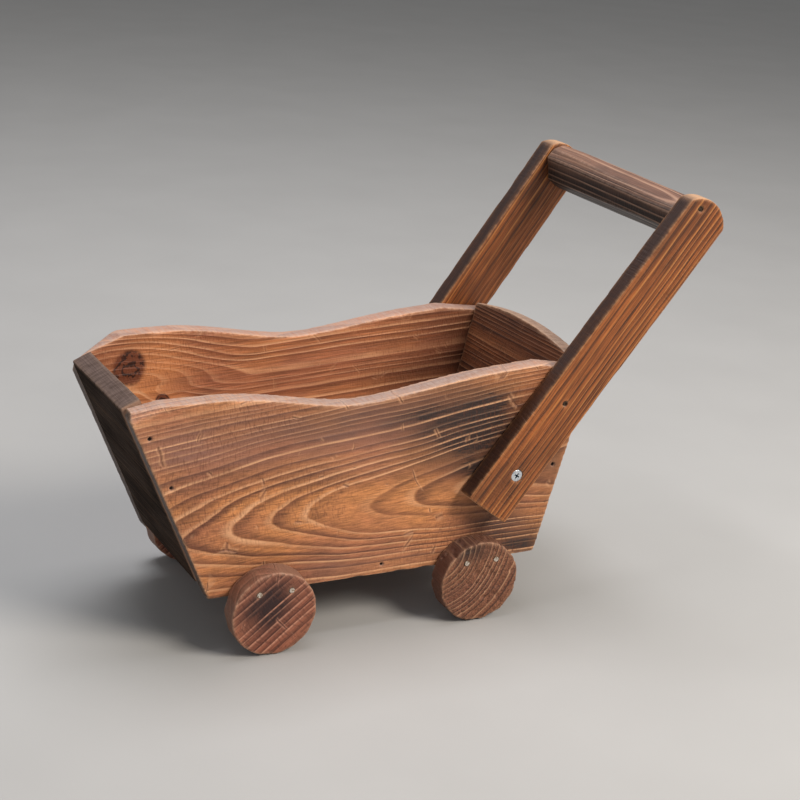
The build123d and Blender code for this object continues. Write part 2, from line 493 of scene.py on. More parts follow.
@dataclass(frozen=True)
class BurntPine:
    """Pine, flame-burnt and wire-brushed: dark late wood stands proud of pale, fibrous early wood.

    Sizes are in millimetres. The growth rings are solid cylinders round the log's pith, so
    arches on a face run on as arcs at the board's ends.
    """

    name: str
    stock: Stock
    pith: tuple[float, float, float] = (0.0, -50.0, 40.0)
    lean: tuple[float, float] = (0.0, 0.0)  # degrees: towards y, towards z
    ring: float = 3.2
    early: str = "#b87a4c"
    late: str = "#6d4026"
    pale: str = "#d9a374"  # winter lines, and the lips of checks
    tint: str = "#a9765c"
    char: str = "#38271f"
    bloom: str = "#a0786a"  # smoke and dust over the wood
    # Sawn edges: rough sawn grain, paler and greyer; on the side boards' top edges the paleness is
    # partly a painted sky sheen
    sawn: str = "#9d887d"
    end: str = "#9a7a66"
    worn: str = "#cfa27c"
    late_share: float = 0.85  # how far each colour covers what lies under it
    pale_share: float = 0.85
    sawn_share: float = 0.85
    sway: float = 7.0
    scorch: float = 0.3
    streak: float = 0.5
    hatch: float = 0.4
    checks: float = 0.75
    saw_marks: float = 0.4
    roughness: float = 0.56
    gloss: float = 0.4
    scorches_and_painted_shade: tuple[Spot, ...] = ()
    blooms: tuple[Spot, ...] = ()
    knots: tuple[Spot, ...] = ()
    pulls: tuple[Spot, ...] = ()  # where a branch pulls the rings aside, in rings

    IOR: ClassVar[float] = 1.53  # of wood's cell walls
    RING_CHANGE: ClassVar[float] = 3.5  # rings over which their width changes
    # Heights of the relief, in millimetres
    LATE_RISE: ClassVar[float] = 0.22
    FIBRE_RISE: ClassVar[float] = 0.35
    STROKE_DEPTH: ClassVar[float] = -0.16
    NICK_DEPTH: ClassVar[float] = -0.6
    LIP_RISE: ClassVar[float] = 0.25
    DENT_RISE: ClassVar[float] = 0.25

    def spots(self, tree: Tree, place: Socket, spots: Sequence[Spot]) -> Socket | float:
        """Adds up soft spots on the blank.

        Args:
            tree: material's node tree.
            place: socket with the place on the blank.
            spots: spots to add up.

        Returns:
            Socket with the sum, or 0 where there are none.
        """
        total: Socket | float = 0.0
        for spot in spots:
            near = add(
                tree,
                "ShaderNodeMapping",
                {
                    "Vector": place,
                    "Location": (spot.along, 0, spot.up),
                    "Scale": (spot.reach_along, THROUGH, spot.reach_up),
                },
                vector_type="TEXTURE",
            )
            ball = add(
                tree,
                "ShaderNodeTexGradient",
                {"Vector": near.outputs[0]},
                gradient_type="SPHERICAL",
            )
            soft = add(
                tree,
                "ShaderNodeMapRange",
                {"Value": ball.outputs["Fac"], "To Max": spot.amount},
                interpolation_type="SMOOTHSTEP",
            )
            total = add(
                tree, "ShaderNodeMath", {0: total, 1: soft.outputs[0]}, operation="ADD"
            ).outputs[0]
        return total

    def grain(self, tree: Tree) -> Grain:
        """Lays the blank in its log and draws the patterns that the layers share.

        Args:
            tree: material's node tree.

        Returns:
            Sockets of the grain.
        """
        board = add(
            tree,
            "ShaderNodeMapping",
            {
                "Vector": add(tree, "ShaderNodeTexCoord").outputs["Object"],
                "Location": tuple(self.stock.origin),
                "Rotation": tuple(self.stock.turn),
                "Scale": (MM, MM, MM),
            },
            vector_type="TEXTURE",
        ).outputs[0]
        log = add(
            tree,
            "ShaderNodeMapping",
            {
                "Vector": board,
                "Location": self.pith,
                "Rotation": (0, -math.radians(self.lean[1]), math.radians(self.lean[0])),
            },
            vector_type="TEXTURE",
        ).outputs[0]
        sway = SWAY.draw(tree, log)
        drift = add(
            tree,
            "ShaderNodeVectorMath",
            {0: sway.outputs["Color"], 1: (0.5, 0.5, 0.5)},
            operation="SUBTRACT",
        ).outputs[0]
        loose = add(
            tree,
            "ShaderNodeVectorMath",
            {0: drift, 1: (16.0, 0.0, 10.0), 2: board},
            operation="MULTIPLY_ADD",
        ).outputs[0]
        return Grain(
            board=board,
            log=log,
            drift=drift,
            loose=loose,
            sway=sway.outputs[0],
            patch=PATCHES.draw(tree, log).outputs[0],
            fibre=FIBRES.draw(tree, log).outputs[0],
            dent=DENTS.draw(tree, loose).outputs[0],
        )

    def years(self, tree: Tree, grain: Grain) -> Socket:
        """Counts the growth rings outwards from the pith.

        Args:
            tree: material's node tree.
            grain: sockets of the grain.

        Returns:
            Socket with the ring's number and, after the point, the time of its year.
        """
        bent = add(
            tree,
            "ShaderNodeVectorMath",
            {0: grain.drift, 1: (0, self.sway, self.sway), 2: grain.log},
            operation="MULTIPLY_ADD",
        ).outputs[0]
        flat = add(
            tree, "ShaderNodeVectorMath", {0: bent, 1: (0, 1, 1)}, operation="MULTIPLY"
        ).outputs[0]
        radius = add(tree, "ShaderNodeVectorMath", {0: flat}, operation="LENGTH").outputs["Value"]
        # Good and bad years widen and narrow the rings
        weather = add(
            tree,
            "ShaderNodeTexNoise",
            {"W": radius, "Scale": 1 / (self.RING_CHANGE * self.ring), "Detail": 1.0},
            noise_dimensions="1D",
        ).outputs[0]
        years = add(
            tree,
            "ShaderNodeMath",
            {0: radius, 1: 1 / self.ring, 2: weather},
            operation="MULTIPLY_ADD",
        ).outputs[0]
        years = add(
            tree, "ShaderNodeMath", {0: weather, 1: 1.5, 2: years}, operation="MULTIPLY_ADD"
        ).outputs[0]
        if self.pulls:
            pull = self.spots(tree, grain.board, self.pulls)
            years = add(tree, "ShaderNodeMath", {0: years, 1: pull}, operation="ADD").outputs[0]
        return years

    def late_wood(self, tree: Tree, years: Socket) -> Socket:
        """Darkens each ring slowly through its summer, up to a sharp winter line.

        Args:
            tree: material's node tree.
            years: count of the rings.

        Returns:
            Socket with the share of late wood.
        """
        season = add(tree, "ShaderNodeMath", {0: years}, operation="FRACT").outputs[0]
        year = add(tree, "ShaderNodeMath", {0: years}, operation="FLOOR").outputs[0]
        vigour = add(tree, "ShaderNodeTexWhiteNoise", {"W": year}, noise_dimensions="1D")
        late = add(
            tree,
            "ShaderNodeMapRange",
            {"Value": vigour.outputs["Value"], "To Min": 0.35, "To Max": 1.0},
        ).outputs[0]
        summer = {"From Min": 0.4, "From Max": 0.88}
        autumn = {"From Min": 0.9, "From Max": 1.0, "To Min": 1.0, "To Max": 0.0}
        for part in (summer, autumn):
            turn = add(
                tree,
                "ShaderNodeMapRange",
                {"Value": season, **part},
                interpolation_type="SMOOTHSTEP",
            ).outputs[0]
            late = add(tree, "ShaderNodeMath", {0: late, 1: turn}, operation="MULTIPLY").outputs[0]
        return late

    def winter_line(self, tree: Tree, grain: Grain, years: Socket) -> Socket:
        """Draws the pale line between two years, stronger in some years and places.

        Args:
            tree: material's node tree.
            grain: sockets of the grain.
            years: count of the rings.

        Returns:
            Socket with the line's strength.
        """
        season = add(tree, "ShaderNodeMath", {0: years}, operation="FRACT").outputs[0]
        spring = add(
            tree,
            "ShaderNodeMapRange",
            {"Value": season, "From Min": 0.0, "From Max": 0.3, "To Min": 1.0, "To Max": 0.0},
            interpolation_type="SMOOTHSTEP",
        ).outputs[0]
        winter = add(
            tree, "ShaderNodeMapRange", {"Value": season, "From Min": 0.93, "From Max": 1.0}
        ).outputs[0]
        line = add(
            tree, "ShaderNodeMath", {0: spring, 1: winter}, operation="MAXIMUM"
        ).outputs[0]
        # Two neighbouring years share a line, so its luck follows the nearer whole year
        nearest = add(tree, "ShaderNodeMath", {0: years}, operation="ROUND").outputs[0]
        luck = add(tree, "ShaderNodeTexWhiteNoise", {"W": nearest}, noise_dimensions="1D")
        by_year = {"From Min": 0.1, "From Max": 0.8, "To Min": 0.2, "To Max": 1.0}
        by_place = {"From Min": 0.3, "From Max": 0.6, "To Min": 0.3}
        for value, span in ((luck.outputs["Value"], by_year), (grain.patch, by_place)):
            share = add(tree, "ShaderNodeMapRange", {"Value": value, **span}).outputs[0]
            line = add(
                tree, "ShaderNodeMath", {0: line, 1: share}, operation="MULTIPLY"
            ).outputs[0]
        return line

    def marks(self, tree: Tree, grain: Grain) -> Marks:
        """Draws planer marks, and curved checks where the flame shrank the skin.

        Args:
            tree: material's node tree.
            grain: sockets of the grain.

        Returns:
            Sockets of the marks.
        """
        chatter = add(
            tree,
            "ShaderNodeMapRange",
            {"Value": grain.sway, "From Min": 0.4, "From Max": 0.6, "To Min": 0.15},
        ).outputs[0]
        strokes = add(
            tree,
            "ShaderNodeMapRange",
            {
                "Value": PLANER_MARKS.draw(tree, grain.loose).outputs[0],
                "From Min": 0.45,
                "From Max": 0.72,
                "To Max": chatter,
            },
            interpolation_type="SMOOTHSTEP",
        ).outputs[0]
        curved = add(
            tree,
            "ShaderNodeVectorMath",
            {0: grain.drift, 1: (30.0, 0.0, 30.0), 2: grain.board},
            operation="MULTIPLY_ADD",
        ).outputs[0]
        net = add(
            tree,
            "ShaderNodeTexVoronoi",
            {"Vector": CHECKS.place(tree, curved), "Scale": 1.0},
            feature="DISTANCE_TO_EDGE",
        ).outputs[0]
        torn = add(
            tree,
            "ShaderNodeMapRange",
            {
                "Value": TORN_SKIN.draw(tree, grain.board).outputs[0],
                "From Min": 0.59,
                "From Max": 0.65,
                "To Max": self.checks,
            },
            interpolation_type="SMOOTHSTEP",
        ).outputs[0]
        gap = {"From Min": 0.0, "From Max": 0.024, "To Min": 1.0, "To Max": 0.0}
        # Band beside each check: its lip is raised, and painted pale there as a highlight
        lip = {"From Min": 0.03, "From Max": 0.06, "To Min": 0.4, "To Max": 0.0}
        nicks, lips_and_highlight = (
            add(
                tree,
                "ShaderNodeMath",
                {0: add(tree, "ShaderNodeMapRange", {"Value": net, **band}).outputs[0], 1: torn},
                operation="MULTIPLY",
            ).outputs[0]
            for band in (gap, lip)
        )
        return Marks(strokes, nicks, lips_and_highlight)

    def wood(self, tree: Tree, grain: Grain, late: Socket) -> Socket:
        """Colours the bare wood: early wood, a broad tint, late wood and streaks of fibre.

        Args:
            tree: material's node tree.
            grain: sockets of the grain.
            late: share of late wood.

        Returns:
            Socket with the colour.
        """
        toned = add(
            tree,
            "ShaderNodeMapRange",
            {
                "Value": TINTS.draw(tree, grain.board).outputs[0],
                "From Min": 0.38,
                "From Max": 0.64,
            },
        ).outputs[0]
        shade = add(
            tree,
            "ShaderNodeMix",
            {0: toned, 6: linear(self.early), 7: linear(self.tint)},
            data_type="RGBA",
        ).outputs[2]
        late = add(
            tree, "ShaderNodeMath", {0: late, 1: self.late_share}, operation="MULTIPLY"
        ).outputs[0]
        shade = coats(tree, shade, [(late, self.late)])
        streaks = add(
            tree,
            "ShaderNodeMapRange",
            {
                "Value": grain.fibre,
                "From Min": 0.3,
                "From Max": 0.7,
                "To Min": 1 - self.streak,
                "To Max": 1 + 0.3 * self.streak,
            },
        ).outputs[0]
        return add(
            tree, "ShaderNodeVectorMath", {0: shade, "Scale": streaks}, operation="SCALE"
        ).outputs[0]

    def smoke(self, tree: Tree, grain: Grain, shade: Socket) -> Socket:
        """Lays the blooms and then the scorch marks over the wood, ragged along its fibres. On the
        crossbar and the rear wheels some of these dark spots are painted shade.

        Args:
            tree: material's node tree.
            grain: sockets of the grain.
            shade: colour that they cover.

        Returns:
            Socket with the covered colour.
        """
        # The scorch spots hold char, and on the crossbar and rear wheels painted shade
        bloomed, scorched_and_shaded = (self.blooms, self.bloom, 1.1), (self.scorches_and_painted_shade, self.char, 0.9)
        for spots, colour, ragged in (bloomed, scorched_and_shaded):
            if not spots:
                continue
            amount = self.spots(tree, grain.board, spots)
            edge = add(
                tree,
                "ShaderNodeMapRange",
                {"Value": grain.patch, "To Min": -ragged, "To Max": ragged},
            ).outputs[0]
            amount = add(
                tree, "ShaderNodeMath", {0: edge, 1: amount, 2: amount}, operation="MULTIPLY_ADD"
            ).outputs[0]
            grained = add(
                tree,
                "ShaderNodeMapRange",
                {
                    "Value": grain.fibre,
                    "From Min": 0.3,
                    "From Max": 0.7,
                    "To Min": 0.6,
                    "To Max": 1.1,
                },
            ).outputs[0]
            amount = add(
                tree,
                "ShaderNodeMath",
                {0: amount, 1: grained},
                operation="MULTIPLY",
                use_clamp=True,
            ).outputs[0]
            shade = coats(tree, shade, [(amount, colour)])
        return shade

    def knotted(self, tree: Tree, grain: Grain, shade: Socket) -> Socket:
        """Sets the knots in: dark hearts with swirled rings of their own.

        Args:
            tree: material's node tree.
            grain: sockets of the grain.
            shade: colour that they cover.

        Returns:
            Socket with the covered colour.
        """
        knot = self.spots(tree, grain.loose, self.knots)
        heart = add(
            tree,
            "ShaderNodeMapRange",
            {"Value": knot, "From Min": 0.08, "From Max": 0.4, "To Max": 0.95},
            interpolation_type="SMOOTHSTEP",
        ).outputs[0]
        swirl = add(
            tree, "ShaderNodeMath", {0: grain.patch, 1: 26.0}, operation="MULTIPLY"
        ).outputs[0]
        for pattern, turns in ((grain.dent, 10.0), (knot, 11.0)):
            swirl = add(
                tree, "ShaderNodeMath", {0: pattern, 1: turns, 2: swirl}, operation="MULTIPLY_ADD"
            ).outputs[0]
        swirl = add(tree, "ShaderNodeMath", {0: swirl}, operation="SINE").outputs[0]
        split = add(
            tree,
            "ShaderNodeMapRange",
            {"Value": swirl, "From Min": 0.0, "From Max": 0.8, "To Min": 0.25},
        ).outputs[0]
        split = add(
            tree, "ShaderNodeMath", {0: heart, 1: split}, operation="MULTIPLY"
        ).outputs[0]
        return coats(tree, shade, [(heart, self.late), (split, self.char)])

    def edged(self, tree: Tree, grain: Grain, shade: Socket) -> Socket:
        """Colours the edges: sawn ones paler and greyer on most pieces, partly as a painted sky
        sheen on the side boards' tops, and near-black as painted shade on the arms; handled ones
        worn to clean wood.

        Args:
            tree: material's node tree.
            grain: sockets of the grain.
            shade: colour that they cover.

        Returns:
            Socket with the covered colour.
        """
        edge, end, worn = (
            add(tree, "ShaderNodeAttribute", attribute_name=name).outputs["Fac"]
            for name in ("sawn", "end", "worn")
        )
        furred = add(
            tree,
            "ShaderNodeMapRange",
            {
                "Value": grain.fibre,
                "From Min": 0.3,
                "From Max": 0.7,
                "To Min": 1 - 0.75 * self.saw_marks,
                "To Max": 1.0,
            },
        ).outputs[0]
        toothed = add(
            tree,
            "ShaderNodeMapRange",
            {
                "Value": SAW_MARKS.draw(tree, grain.board).outputs[0],
                "From Min": 0.35,
                "From Max": 0.6,
                "To Min": 1 - self.saw_marks,
                "To Max": 1.0,
            },
        ).outputs[0]
        rubbed = add(
            tree,
            "ShaderNodeMapRange",
            {
                "Value": grain.dent,
                "From Min": 0.35,
                "From Max": 0.6,
                "To Min": 0.15,
                "To Max": 0.9,
            },
        ).outputs[0]
        layers = (
            ((edge, furred, toothed, self.sawn_share), self.sawn),
            ((end, edge, self.sawn_share), self.end),
            ((worn, rubbed), self.worn),
        )
        for (cover, *shares), colour in layers:
            for share in shares:
                cover = add(
                    tree, "ShaderNodeMath", {0: cover, 1: share}, operation="MULTIPLY"
                ).outputs[0]
            shade = coats(tree, shade, [(cover, colour)])
        return shade

    def relief(self, tree: Tree, grain: Grain, marks: Marks, late: Socket) -> Socket:
        """Raises late wood and lowers soft wood, planer marks and checks.

        Args:
            tree: material's node tree.
            grain: sockets of the grain.
            marks: sockets of the marks.
            late: share of late wood.

        Returns:
            Socket with the surface's normal.
        """
        height = add(
            tree, "ShaderNodeMath", {0: late, 1: self.LATE_RISE}, operation="MULTIPLY"
        ).outputs[0]
        for pattern, rise in (
            (grain.fibre, self.FIBRE_RISE),
            (marks.strokes, self.STROKE_DEPTH),
            (marks.nicks, self.NICK_DEPTH),
            (marks.lips_and_highlight, self.LIP_RISE),
            (grain.dent, self.DENT_RISE),
        ):
            height = add(
                tree, "ShaderNodeMath", {0: pattern, 1: rise, 2: height}, operation="MULTIPLY_ADD"
            ).outputs[0]
        bump = add(tree, "ShaderNodeBump", {"Height": height, "Distance": MM, "Strength": 0.85})
        return bump.outputs[0]

    def material(self) -> bpy.types.Material:
        """Builds the finish, layer over layer.

        Returns:
            Node material on Object coordinates.
        """
        material = bpy.data.materials.new(self.name)
        material.use_nodes = True
        tree = material.node_tree
        tree.nodes.clear()
        grain = self.grain(tree)
        years = self.years(tree, grain)
        late = self.late_wood(tree, years)
        line = self.winter_line(tree, grain, years)
        marks = self.marks(tree, grain)
        shade = self.smoke(tree, grain, self.wood(tree, grain, late))
        burnt = add(
            tree,
            "ShaderNodeMapRange",
            {
                "Value": FLAME.draw(tree, grain.board).outputs[0],
                "From Min": 0.42,
                "From Max": 0.68,
                "To Max": self.scorch,
            },
            interpolation_type="SMOOTHSTEP",
        ).outputs[0]
        line = add(
            tree, "ShaderNodeMath", {0: line, 1: self.pale_share}, operation="MULTIPLY"
        ).outputs[0]
        scored = add(
            tree, "ShaderNodeMath", {0: marks.strokes, 1: self.hatch}, operation="MULTIPLY"
        ).outputs[0]
        scored = add(
            tree,
            "ShaderNodeMath",
            {0: marks.nicks, 1: 0.9, 2: scored},
            operation="MULTIPLY_ADD",
            use_clamp=True,
        ).outputs[0]
        shade = coats(
            tree,
            shade,
            [
                (burnt, self.char),
                (line, self.pale),
                # Painted highlight: the checks' raised lips are lightened as if they catch the
                # light
                (marks.lips_and_highlight, self.pale),
                (scored, self.late),
            ],
        )
        if self.knots:
            shade = self.knotted(tree, grain, shade)
        shade = self.edged(tree, grain, shade)

        # Brushed fibres shine a little, and char is dull
        rough = add(
            tree,
            "ShaderNodeMapRange",
            {
                "Value": grain.fibre,
                "From Min": 0.3,
                "From Max": 0.7,
                "To Min": self.roughness + 0.12,
                "To Max": self.roughness - 0.08,
            },
        ).outputs[0]
        rough = add(
            tree, "ShaderNodeMath", {0: burnt, 1: 0.25, 2: rough}, operation="MULTIPLY_ADD"
        ).outputs[0]
        surface = add(
            tree,
            "ShaderNodeBsdfPrincipled",
            {
                "Base Color": shade,
                "Roughness": rough,
                "Normal": self.relief(tree, grain, marks, late),
                "IOR": self.IOR,
                "Specular IOR Level": self.gloss,
            },
        )
        add(tree, "ShaderNodeOutputMaterial", {"Surface": surface.outputs[0]})
        return material


@dataclass(frozen=True)
class Wire:
    """Steel wire nails and plated screws: fine drawn or rolled steel with small dull patches."""

    name: str
    steel: str
    dull: str
    roughness: float
    recess: str = ""  # painted shade: dark blue laid into the cross recess

    def material(self) -> bpy.types.Material:
        """Builds the finish.

        Returns:
            Node material on Object coordinates.
        """
        material = bpy.data.materials.new(self.name)
        material.use_nodes = True
        tree = material.node_tree
        tree.nodes.clear()
        here = add(tree, "ShaderNodeTexCoord")
        # Dull patches are about 1 mm wide, scratches 0.2 mm and 0.05 mm deep
        patch, scratch = (
            add(
                tree,
                "ShaderNodeTexNoise",
                {"Vector": here.outputs["Object"], "Scale": 1 / (width * MM), "Detail": detail},
            ).outputs[0]
            for width, detail in ((1.0, 3.0), (0.2, 2.0))
        )
        share = add(
            tree, "ShaderNodeMapRange", {"Value": patch, "From Min": 0.42, "From Max": 0.62}
        ).outputs[0]
        shade = add(
            tree,
            "ShaderNodeMix",
            {0: share, 6: linear(self.steel), 7: linear(self.dull)},
            data_type="RGBA",
        ).outputs[2]
        if self.recess:
            # Painted shade: the recess mask darkens the cross recess to dark blue
            deep = add(tree, "ShaderNodeAttribute", attribute_name="recess").outputs["Fac"]
            shade = coats(tree, shade, [(deep, self.recess)])
        rough = add(
            tree,
            "ShaderNodeMapRange",
            {"Value": share, "To Min": self.roughness, "To Max": self.roughness + 0.2},
        ).outputs[0]
        bump = add(
            tree, "ShaderNodeBump", {"Height": scratch, "Distance": 0.05 * MM, "Strength": 0.6}
        )
        surface = add(
            tree,
            "ShaderNodeBsdfPrincipled",
            {"Base Color": shade, "Metallic": 1.0, "Roughness": rough, "Normal": bump.outputs[0]},
        )
        add(tree, "ShaderNodeOutputMaterial", {"Surface": surface.outputs[0]})
        return material


def settle(piece: bpy.types.Object, material: bpy.types.Material, node: str) -> None:
    """Dresses a piece, puts it on the cart's body and hides the CAD node that it stands for.

    Args:
        piece: finished piece.
        material: its finish.
        node: CAD node's name.
    """
    piece.data.materials.clear()
    piece.data.materials.append(material)
    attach(piece, "root")
    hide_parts(node)
    LOG.info("%s: %d faces, stands for %s", piece.name, len(piece.data.polygons), node)


@dataclass
class Tray:
    """Open tray: two splayed side boards, two leaning end boards and a floor."""

    board: float = 13.0  # millimetres thick
    splay: float = SPLAY
    front_lean: float = 22.47  # degrees from upright
    rear_lean: float = 14.21
    shielded: float = 16.0  # millimetres of the end boards that the floor's ends shield

    def side_stock(self, side: Side) -> Stock:
        """Gives a side board's blank, with x to the cart's rear and y to its right.

        Args:
            side: which board.

        Returns:
            Blank with its origin at its foremost lower corner, on the face to the cart's left.
        """
        low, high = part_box(f"side_board_{side.word}")
        turn = math.radians(self.splay) * side.value
        if side is Side.LEFT:
            origin = Vector((low.x, high.y - self.board * MM * math.cos(turn), low.z))
        else:
            origin = Vector((low.x, low.y, low.z))
        return Stock(origin, Euler((0, 0, turn)))

    def end_stock(self, node: str, lean: float) -> Stock:
        """Gives an end board's blank, with x to the cart's left and y to its rear.

        Args:
            node: end board's CAD node.
            lean: its lean from upright, in degrees, forwards being positive.

        Returns:
            Blank with its origin at the middle of the board's lower front edge.
        """
        low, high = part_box(node)
        tilt = math.radians(lean)
        turn = Euler((tilt, 0, -math.pi / 2))
        drop = self.board * MM * math.sin(tilt)  # of one face's edge below the other's
        if lean > 0:
            # The front board's foremost line is its upper outer edge
            rise = (high.z - low.z - drop) / math.cos(tilt)
            up = turn.to_matrix() @ Vector((0, 0, 1))
            origin = Vector((low.x, 0, high.z - drop)) - up * rise
        else:
            # The rear board's foremost line is its lower inner edge
            origin = Vector((low.x, 0, low.z - drop))
        return Stock(origin, turn)

    def build_sides(self) -> None:
        """Makes the two side boards, with arched grain on the left and level grain on the right."""
        left = self.side_stock(Side.LEFT)
        finish = BurntPine(
            "burnt_pine_side_left",
            left,
            pith=(0.0, -50.0, 39.0),
            lean=(6.0, 3.4),
            ring=3.15,
            early="#cd8750",
            tint="#b8754f",
            late="#5f3424",
            pale="#dfa87c",
            char="#2e201c",
            bloom="#8a6051",
            end="#2f241d",
            scorches_and_painted_shade=(
                Spot(205, 92, 64, 54, 1.05),
                Spot(236, 70, 46, 62, 0.9),
                Spot(252, 6, 46, 30, 0.9),
                Spot(222, 22, 34, 18, 0.6),
                Spot(125, 102, 110, 24, 0.5),
                Spot(274, 60, 16, 50, 0.6),
            ),
            blooms=(
                Spot(40, 96, 80, 36, 0.75),
                Spot(140, 98, 105, 44, 0.9),
                Spot(150, 8, 100, 14, 0.4),
            ),
        )
        hand = Handwork(
            seed=11,
            shaves=(
                Shave((10.0, 2.2, 118.5), (-0.25, -0.75, 0.6)),
                Shave((265.6, 0.0, 1.4), (0.7, 0.0, -0.7)),
                Shave((2.0, 0.0, 115.0), (-0.96, 0.0, 0.2)),
            ),
        )
        piece = hand.make("side_board_left", "left_side_board", left)
        settle(piece, finish.material(), "side_board_left")

        right = self.side_stock(Side.RIGHT)
        finish = BurntPine(
            "burnt_pine_side_right",
            right,
            pith=(0.0, -55.0, -38.0),
            lean=(0.8, 0.6),
            ring=5.2,
            early="#c07a4e",
            tint="#b06d4c",
            late="#7a4128",
            pale="#e6ac7e",
            char="#2e1710",
            bloom="#d58a55",
            end="#2f241d",
            checks=0.35,
            scorch=0.1,
            sway=8.0,
            knots=(Spot(37, 108, 15, 17, 1.0), Spot(57, 84, 7, 6, 1.0)),
            pulls=(Spot(30, 104, 95, 66, -4.2), Spot(57, 84, 18, 16, 1.2)),
            blooms=(Spot(50, 96, 44, 46, 0.8),),
            scorches_and_painted_shade=(Spot(285, 88, 95, 90, 0.75), Spot(225, 50, 60, 60, 0.4)),
        )
        hand = Handwork(seed=23, shaves=(Shave((28.0, 11.5, 128.0), (-0.5, 0.6, 0.6)),))
        piece = hand.make("side_board_right", "right_side_board", right)
        settle(piece, finish.material(), "side_board_right")

    def build_ends(self) -> None:
        """Makes the charred front board and the dark rear board with its arched top."""
        front = self.end_stock("front_board", self.front_lean)
        finish = BurntPine(
            "charred_pine_front_board",
            front,
            pith=(0.0, 40.0, -60.0),
            ring=3.4,
            early="#3f2e22",
            tint="#30231a",
            late="#1b130e",
            pale="#6b4e39",
            char="#140f0c",
            sawn="#6f5e57",
            worn="#8d7462",
            scorch=0.7,
            streak=0.4,
            hatch=0.2,
            checks=0.15,
            pale_share=0.5,
            roughness=0.8,
            gloss=0.06,
        )
        piece = Handwork(seed=31, tucked=self.shielded).make(
            "front_board", "front_end_board", front
        )
        settle(piece, finish.material(), "front_board")

        rear = self.end_stock("rear_board", -self.rear_lean)
        finish = BurntPine(
            "burnt_pine_rear_board",
            rear,
            pith=(0.0, 30.0, -70.0),
            lean=(1.0, 1.5),
            ring=3.6,
            early="#7d492b",
            tint="#663a22",
            late="#3a1e11",
            pale="#a8714a",
            char="#2a1710",
            sawn="#b99a82",
            worn="#c79f7c",
            checks=0.3,
            scorch=0.25,
            sway=4.0,
        )
        piece = Handwork(seed=37, tucked=self.shielded).make("rear_board", "rear_end_board", rear)
        settle(piece, finish.material(), "rear_board")

    def build_floor(self) -> None:
        """Makes the floor board, with its grain along the cart."""
        low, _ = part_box("floor_board")
        stock = Stock(Vector((low.x, 0, low.z)), Euler((0, 0, 0)))
        finish = BurntPine(
            "burnt_pine_floor",
            stock,
            pith=(0.0, 8.0, -70.0),
            lean=(2.0, 3.0),
            ring=4.0,
            early="#a0683f",
            tint="#8a5a3c",
            scorch=0.5,
            hatch=0.1,
            checks=0.0,
            sawn_share=0.0,
        )
        hand = Handwork(
            net=0.9,
            easing=0,
            edge_wear=0.0,
            chip=0.0,
            wave=0.05,
            furrow=0.05,
            stretch=1.0,
            seed=41,
        )
        piece = hand.make("floor_board", "tray_floor", stock)
        settle(piece, finish.material(), "floor_board")

    def build(self) -> None:
        """Makes the whole tray."""
        self.build_sides()
        self.build_ends()
        self.build_floor()


@dataclass
class Handle:
    """Handle: two raked arms on the side boards and a rounded crossbar between them."""

    rake: float = 52.6  # degrees above level
    splay: float = SPLAY

    def arm_stock(self, side: Side) -> Stock:
        """Gives an arm's blank, with x up the arm and y pointing to the cart's right.

        Args:
            side: which arm.

        Returns:
            Blank with its origin at the middle of the arm's box.
        """
        low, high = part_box(f"handle_arm_{side.word}")
        turn = Euler((0, -math.radians(self.rake), math.radians(self.splay) * side.value))
        return Stock((low + high) / 2, turn)

    def build_arms(self) -> None:
        """Makes both arms from quarter-sawn strips, striped along their length."""
        strips = ((Side.LEFT, 53, (0.0, 4.0, -62.0)), (Side.RIGHT, 59, (0.0, 14.0, 70.0)))
        for side, seed, pith in strips:
            stock = self.arm_stock(side)
            finish = BurntPine(
                f"burnt_pine_arm_{side.word}",
                stock,
                pith=pith,
                lean=(0.6, 0.9),
                ring=3.9,
                early="#a65d28",
                tint="#8a4b20",
                late="#43210d",
                pale="#c98747",
                char="#2a170c",
                # Painted shade: the arms' narrow sawn faces, the forward face among them, are
                # near-black as if turned from the light
                sawn="#29150c",
                end="#b08a69",
                worn="#c98f5c",
                sawn_share=0.96,
                saw_marks=0.06,
                checks=0.0,
                scorch=0.45,
                sway=3.5,
                streak=0.7,
                pale_share=0.6,
                hatch=0.06,
                roughness=0.48,
            )
            hand = Handwork(net=0.8, seed=seed, wave_size=(70.0, 12.0, 12.0), edge_wear=0.5)
            piece = hand.make(f"handle_arm_{side.word}", f"{side.word}_handle_arm", stock)
            settle(piece, finish.material(), f"handle_arm_{side.word}")

    def build_crossbar(self) -> None:
        """Makes the crossbar, rounded with a few strokes of a drawknife."""
        low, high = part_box("handle_crossbar")
        turn = Euler((math.radians(self.rake - 90), 0, -math.pi / 2))
        stock = Stock((low + high) / 2, turn)
        finish = BurntPine(
            "burnt_pine_crossbar",
            stock,
            pith=(0.0, -22.0, 12.0),
            lean=(1.5, 0.5),
            ring=3.4,
            early="#87604a",
            tint="#6c4837",
            late="#38241a",
            pale="#b08c74",
            char="#1d120c",
            worn="#b0927b",
            scorch=0.5,
            hatch=0.06,
            # Painted shade: a dark band along the crossbar's underside, fading towards its top
            scorches_and_painted_shade=(Spot(0, -17, 400, 22, 1.6),),
            checks=0.0,
            sawn_share=0.0,
            sway=3.0,
            roughness=0.5,
        )
        hand = Handwork(
            net=0.8,
            seed=61,
            wave=0.8,
            wave_size=(38.0, 9.0, 9.0),
            edge_wear=0.2,
            chip=0.3,
            shaves=(
                Shave((0.0, -9.5, 9.0), (0.03, -0.75, 0.66)),
                Shave((0.0, 9.8, 9.2), (-0.02, 0.7, 0.71)),
                Shave((0.0, -10.0, -9.0), (-0.02, -0.72, -0.69)),
            ),
        )
        piece = hand.make("handle_crossbar", "handle_grip", stock)
        settle(piece, finish.material(), "handle_crossbar")

    def build(self) -> None:
        """Makes the whole handle."""
        self.build_arms()
        self.build_crossbar()


